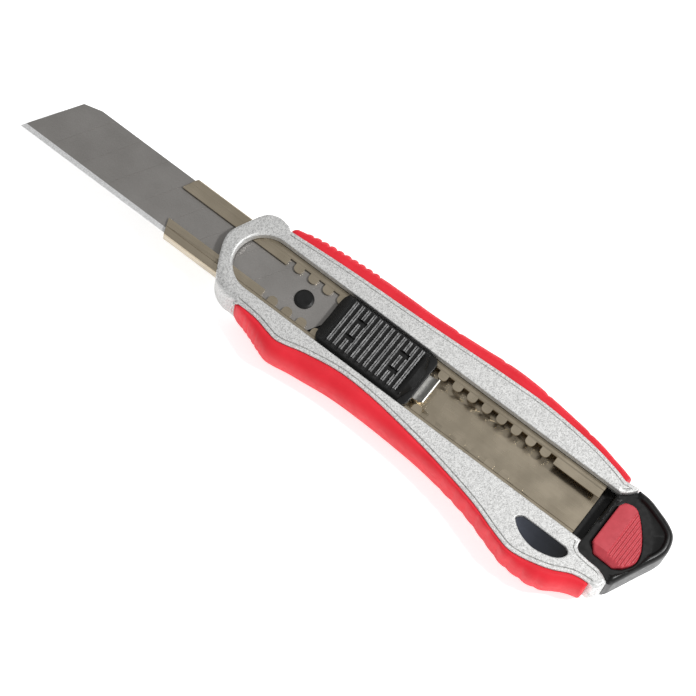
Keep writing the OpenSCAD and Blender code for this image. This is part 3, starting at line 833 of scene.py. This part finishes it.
class Paint:
    """A small helper for writing one procedural material."""

    def __init__(self, name, rough=0.5, metallic=0.0, **fixed):
        self.mat = bpy.data.materials.new(name)
        self.mat.use_nodes = True
        self.tree = self.mat.node_tree
        self.bsdf = self.tree.nodes["Principled BSDF"]
        self.bsdf.inputs["Roughness"].default_value = rough
        self.bsdf.inputs["Metallic"].default_value = metallic
        for key, value in fixed.items():
            self.bsdf.inputs[key.replace("_", " ")].default_value = value
        self.coords = self.tree.nodes.new("ShaderNodeTexCoord").outputs["Object"]
        self.bumps = None

    def link(self, a, b):
        """Joins two sockets."""
        self.tree.links.new(a, b)

    def stretched(self, scale):
        """Object coordinates, scaled along each axis."""
        node = self.tree.nodes.new("ShaderNodeMapping")
        node.inputs["Scale"].default_value = scale
        self.link(self.coords, node.inputs["Vector"])
        return node.outputs["Vector"]

    def noise(self, size, detail=3.0, stretch=(1, 1, 1), rough=0.5):
        """Noise with features of a size in millimetres."""
        node = self.tree.nodes.new("ShaderNodeTexNoise")
        node.inputs["Scale"].default_value = 1 / (size * MM)
        node.inputs["Detail"].default_value = detail
        node.inputs["Roughness"].default_value = rough
        self.link(self.stretched(stretch), node.inputs["Vector"])
        return node.outputs["Fac"]

    def cells(self, size):
        """Flakes of a size in millimetres, each with its own random value."""
        node = self.tree.nodes.new("ShaderNodeTexVoronoi")
        node.inputs["Scale"].default_value = 1 / (size * MM)
        self.link(self.coords, node.inputs["Vector"])
        return node.outputs["Color"]

    def axis(self, which, low, high):
        """0 to 1 across a stretch along one axis, in millimetres."""
        split = self.tree.nodes.new("ShaderNodeSeparateXYZ")
        self.link(self.coords, split.inputs[0])
        node = self.tree.nodes.new("ShaderNodeMapRange")
        node.inputs["From Min"].default_value = low * MM
        node.inputs["From Max"].default_value = high * MM
        self.link(split.outputs[which], node.inputs["Value"])
        return node.outputs["Result"]

    def ramp(self, value, stops):
        """Colours or greys at places along a value from 0 to 1."""
        node = self.tree.nodes.new("ShaderNodeValToRGB")
        band = node.color_ramp
        while len(band.elements) < len(stops):
            band.elements.new(0.5)
        for element, (at, colour) in zip(band.elements, stops):
            element.position = at
            colour = (colour,) * 3 if isinstance(colour, float) else colour
            element.color = (*colour, 1)
        self.link(value, node.inputs["Fac"])
        return node.outputs["Color"]

    def mix(self, share, a, b, kind="MIX"):
        """A blend of two colours."""
        node = self.tree.nodes.new("ShaderNodeMix")
        node.data_type = "RGBA"
        node.blend_type = kind
        for value, socket in ((share, node.inputs[0]), (a, node.inputs[6]), (b, node.inputs[7])):
            if isinstance(value, (int, float)):
                socket.default_value = value
            elif isinstance(value, tuple):
                socket.default_value = (*value, 1)
            else:
                self.link(value, socket)
        return node.outputs[2]

    def colour(self, value):
        """Sets the base colour."""
        self.link(value, self.bsdf.inputs["Base Color"])

    def roughness(self, value):
        """Sets the roughness."""
        self.link(value, self.bsdf.inputs["Roughness"])

    def bump(self, height, strength, distance):
        """Adds a bump, its distance in millimetres."""
        node = self.tree.nodes.new("ShaderNodeBump")
        node.inputs["Strength"].default_value = strength
        node.inputs["Distance"].default_value = distance * MM
        self.link(height, node.inputs["Height"])
        if self.bumps:
            self.link(self.bumps, node.inputs["Normal"])
        self.bumps = node.outputs["Normal"]
        self.link(self.bumps, self.bsdf.inputs["Normal"])


def silver_paint():
    """Metal-flake paint on the die-cast body, with painted shade that darkens it towards the nose.
    """
    paint = Paint("silver_metal_flake_with_painted_shade", rough=0.42, metallic=0.35)
    flake = paint.ramp(paint.cells(0.3), [(0.0, 0.22), (0.3, 0.50), (0.55, 0.78), (1.0, 1.0)])
    grain = paint.ramp(paint.noise(0.2, 4), [(0.35, 0.40), (0.65, 1.0)])
    tone = paint.mix(0.45, flake, grain)
    # Painted shade: the colour is made darker towards the nose, where less light falls.
    nose_painted_shade = paint.ramp(paint.axis(0, NOSE_X, NOSE_X + 60), [(0.0, 0.86), (1.0, 1.0)])
    tone = paint.mix(1.0, tone, nose_painted_shade, "MULTIPLY")
    tone = paint.mix(1.0, tone, (1.0, 1.0, 0.985), "MULTIPLY")
    paint.colour(tone)
    paint.roughness(paint.ramp(paint.noise(0.8, 2), [(0.3, 0.34), (0.7, 0.5)]))
    paint.bump(paint.noise(0.35, 3), 0.35, 0.05)
    return paint.mat


def soft_red():
    """Soft moulded rubber with a fine satin grain."""
    paint = Paint("soft_red_rubber", rough=0.55, Specular_IOR_Level=0.3)
    tone = paint.ramp(paint.noise(9, 3), [(0.3, (0.74, 0.016, 0.030)), (0.7, (0.86, 0.024, 0.042))])
    paint.colour(tone)
    paint.roughness(paint.ramp(paint.noise(1.5, 3), [(0.3, 0.48), (0.7, 0.62)]))
    paint.bump(paint.noise(0.12, 2), 0.25, 0.02)
    paint.bump(paint.noise(2.5, 2), 0.2, 0.08)
    return paint.mat


def black_plastic():
    """Moulded black plastic with a faint grain and slightly uneven gloss."""
    tone, rough = 0.006, 0.36
    paint = Paint("black_moulded_plastic", rough=rough, Specular_IOR_Level=0.35)
    paint.colour(paint.ramp(paint.noise(3, 4), [(0.3, tone * 0.8), (0.7, tone * 1.3)]))
    paint.roughness(paint.ramp(paint.noise(1.2, 3), [(0.3, rough - 0.06), (0.7, rough + 0.06)]))
    paint.bump(paint.noise(0.1, 2), 0.2, 0.015)
    return paint.mat


def red_plastic():
    """Moulded red plastic of the latch button."""
    paint = Paint("red_moulded_plastic", rough=0.45)
    dark, light = (0.52, 0.045, 0.062), (0.60, 0.06, 0.08)
    paint.colour(paint.ramp(paint.noise(2, 3), [(0.3, dark), (0.7, light)]))
    paint.roughness(paint.ramp(paint.noise(0.8, 3), [(0.3, 0.38), (0.7, 0.5)]))
    paint.bump(paint.noise(0.1, 2), 0.3, 0.015)
    return paint.mat


def nickel_steel():
    """Nickel-plated sheet with faint drawing lines and stains."""
    paint = Paint("nickel_plated_steel", rough=0.3, metallic=1.0)
    lines = paint.noise(0.25, 4, stretch=(0.02, 1, 1))
    tone = paint.ramp(paint.noise(12, 3), [(0.3, (0.49, 0.42, 0.315)), (0.7, (0.56, 0.485, 0.37))])
    streak = paint.ramp(lines, [(0.3, 0.9), (0.7, 1.0)])
    paint.colour(paint.mix(1.0, tone, streak, "MULTIPLY"))
    paint.roughness(paint.ramp(paint.noise(6, 3), [(0.3, 0.24), (0.7, 0.30)]))
    paint.bump(lines, 0.15, 0.01)
    return paint.mat


def blade_steel():
    """Ground blade steel, with a bright sanded bevel along the cutting edge."""
    paint = Paint("ground_blade_steel", rough=0.4, metallic=0.85)
    edge_y = box("blade")[0][1]
    grain = paint.noise(0.16, 4, stretch=(1, 0.5, 1))
    body = paint.ramp(paint.noise(9, 4), [(0.3, (0.30, 0.287, 0.272)), (0.7, (0.345, 0.33, 0.315))])
    body = paint.mix(1.0, body, paint.ramp(grain, [(0.3, 0.86), (0.7, 1.06)]), "MULTIPLY")
    ground = paint.ramp(paint.noise(0.35, 4), [(0.35, 0.75), (0.65, 1.0)])
    on_bevel = paint.ramp(paint.axis(1, edge_y, edge_y + 3), [(0.46, 1.0), (0.5, 0.0)])
    paint.colour(paint.mix(on_bevel, body, ground))
    paint.roughness(paint.ramp(grain, [(0.3, 0.36), (0.7, 0.5)]))
    paint.bump(grain, 0.2, 0.01)
    return paint.mat


def spring_steel():
    """Bright polished strip and screws."""
    paint = Paint("bright_spring_steel", rough=0.35, metallic=0.8)
    dark, light = (0.72, 0.71, 0.67), (0.85, 0.84, 0.80)
    paint.colour(paint.ramp(paint.noise(1.5, 3), [(0.3, dark), (0.7, light)]))
    paint.roughness(paint.ramp(paint.noise(0.5, 3), [(0.3, 0.3), (0.7, 0.42)]))
    paint.bump(paint.noise(0.2, 3, stretch=(0.1, 1, 1)), 0.1, 0.01)
    return paint.mat


def dark_gloss():
    """Smoked glossy plastic of the side window. Its dark tone is its own; its fade from blue-grey
    at the front end to near black at the rear is painted reflection and shade.
    """
    paint = Paint("smoked_gloss_plastic_painted_reflection", rough=0.12)
    # Painted reflection and shade: lighter blue-grey at the front end and near black at the rear,
    # as the dished glossy insert reflects and shades.
    length = paint.axis(0, *(v[0] for v in box("side_window")))
    tone = paint.ramp(length, [(0.0, (0.06, 0.067, 0.088)), (0.5, (0.020, 0.023, 0.031)),
                               (1.0, (0.003, 0.0033, 0.004))])
    cloud = paint.ramp(paint.noise(2, 3), [(0.3, 0.85), (0.7, 1.0)])
    paint.colour(paint.mix(1.0, tone, cloud, "MULTIPLY"))
    paint.roughness(paint.ramp(paint.noise(1, 3), [(0.3, 0.08), (0.7, 0.2)]))
    return paint.mat


def pale_floor():
    """Plain pale studio floor that stays white round the object."""
    paint = Paint("pale_floor", rough=0.9)
    paint.colour(paint.ramp(paint.noise(300, 2), [(0.3, 0.93), (0.7, 0.95)]))
    paint.bsdf.inputs["Emission Color"].default_value = (1, 1, 1, 1)
    paint.bsdf.inputs["Emission Strength"].default_value = 0.6
    return paint.mat


# ---------------------------------------------------------------- assembly

BODY_OF = {n: b for b, members in frame["record"]["behaviour"]["bodies"].items() for n in members}
SLOT_OF = {s["node"]: s["material_slot"] for s in frame["record"]["subparts"]}
FINISH = {
    "silver_paint": silver_paint(),
    "soft_red": soft_red(),
    "black_plastic": black_plastic(),
    "red_plastic": red_plastic(),
    "nickel_steel": nickel_steel(),
    "blade_steel": blade_steel(),
    "spring_steel": spring_steel(),
    "dark_gloss": dark_gloss(),
}


def stand_for(obj, node):
    """A new piece takes a CAD node's place, body and finish."""
    obj.name = node + "_visual"
    obj.data.materials.clear()
    obj.data.materials.append(FINISH[SLOT_OF[node]])
    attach(obj, BODY_OF[node])
    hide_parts(node)


stand_for(front_shell(), "front_housing")
stand_for(back_shell(), "back_housing")
stand_for(grip("upper_grip", 1, upper_relief, (1.8, 0.5), 0.5, front=0.8), "upper_grip")
stand_for(grip("lower_grip", -1, lower_relief, (3.0, 1.0), 0.2), "lower_grip")
stand_for(slider_cap(), "thumb_slider")
stand_for(cap_shell(), "end_cap")
stand_for(button(), "latch_button")
stand_for(lens(), "side_window")
# Width in millimetres of the rounding on each piece that keeps its CAD shape
ROUNDED = {"blade_channel": 0.0, "inner_frame": 0.15, "blade_carrier": 0.14, "blade_tray": 0.15,
           "housing_screws": 0.06, "lock_rivet": 0.06, "channel_rivets": 0.0, "lock_spring": 0.05,
           "latch_spring": 0.05, "blade": 0.0, "spare_blade_1": 0.0, "spare_blade_2": 0.0,
           "spare_blade_3": 0.0}
for node_name, width in ROUNDED.items():
    flat_faced = "blade" in node_name and "channel" not in node_name
    stand_for(refined(node_name, width, sharp=8 if flat_faced else 26), node_name)


# ---------------------------------------------------------------- floor, light and camera

# How far the view leans to the rear and to the edge side, and turns about its own axis, in degrees
VIEW_LEAN_X, VIEW_LEAN_Y, VIEW_ROLL = 7.417, 17.770, 36.809
VIEW_TARGET = Vector((-0.029429, -0.00374, 0.010))
VIEW_DISTANCE = 0.9
LENS_MM, SENSOR_MM = 165.7, 36.0
LIGHT_TARGET = Vector((0, 0, 0.01))
KEY_DIRECTION, KEY_DISTANCE, KEY_SIZE, KEY_WATTS = Vector((2.2, 1.14, 4.2)), 1.2, 0.12, 9.0
FILL_SIZE, FILL_WATTS = 0.6, 1.2
SKY_LEVEL = 0.42
FLOOR_HALF = 3000
# The floor lies this far under the knife, in metres, so that no face shares its plane
FLOOR_DROP = 0.00002


def camera_axes():
    """Right, up and towards-the-camera directions of the view."""
    lean_x, lean_y, roll = (math.radians(a) for a in (VIEW_LEAN_X, VIEW_LEAN_Y, VIEW_ROLL))
    back = Vector((math.sin(lean_x), -math.sin(lean_y), 0))
    back.z = math.sqrt(1 - back.length_squared)
    flat_x = (Vector((1, 0, 0)) - back * back.x).normalized()
    flat_y = back.cross(flat_x)
    right = flat_x * math.cos(roll) + flat_y * math.sin(roll)
    return right, back.cross(right), back


def aim_camera():
    """The camera, at the photograph's viewing angle."""
    right, up, back = camera_axes()
    cam = bpy.data.objects.new("camera", bpy.data.cameras.new("camera"))
    bpy.context.scene.collection.objects.link(cam)
    cam.matrix_world = Matrix((right, up, back)).transposed().to_4x4()
    cam.location = VIEW_TARGET + back * VIEW_DISTANCE
    cam.data.sensor_width = SENSOR_MM
    cam.data.lens = LENS_MM
    bpy.context.scene.camera = cam


def area_light(name, place, size, power):
    """A square white light that faces the knife."""
    lamp = bpy.data.lights.new(name, "AREA")
    lamp.size, lamp.energy = size, power
    obj = bpy.data.objects.new(name, lamp)
    bpy.context.scene.collection.objects.link(obj)
    obj.location = place
    obj.rotation_mode = "QUATERNION"
    obj.rotation_quaternion = (LIGHT_TARGET - place).to_track_quat("-Z", "Y")


def studio():
    """A pale floor, a small key light, a soft fill from below and an even white sky."""
    corners = [(x * FLOOR_HALF, y * FLOOR_HALF, 0) for x, y in ((-1, -1), (1, -1), (1, 1), (-1, 1))]
    floor = new_object("floor", corners, [(0, 1, 2, 3)])
    floor.location.z = -FLOOR_DROP
    floor.data.materials.append(pale_floor())
    world = bpy.data.worlds.new("studio")
    bpy.context.scene.world = world
    world.use_nodes = True
    sky = world.node_tree.nodes["Background"]
    sky.inputs["Color"].default_value = (1, 1, 1, 1)
    sky.inputs["Strength"].default_value = SKY_LEVEL
    right, up, back = camera_axes()
    key_place = LIGHT_TARGET + KEY_DIRECTION.normalized() * KEY_DISTANCE
    area_light("key", key_place, KEY_SIZE, KEY_WATTS)
    fill_place = LIGHT_TARGET - up * 0.7 + back * 0.6 + right * 0.1
    area_light("fill", fill_place, FILL_SIZE, FILL_WATTS)
    bpy.context.scene.view_settings.view_transform = "Standard"


aim_camera()
studio()
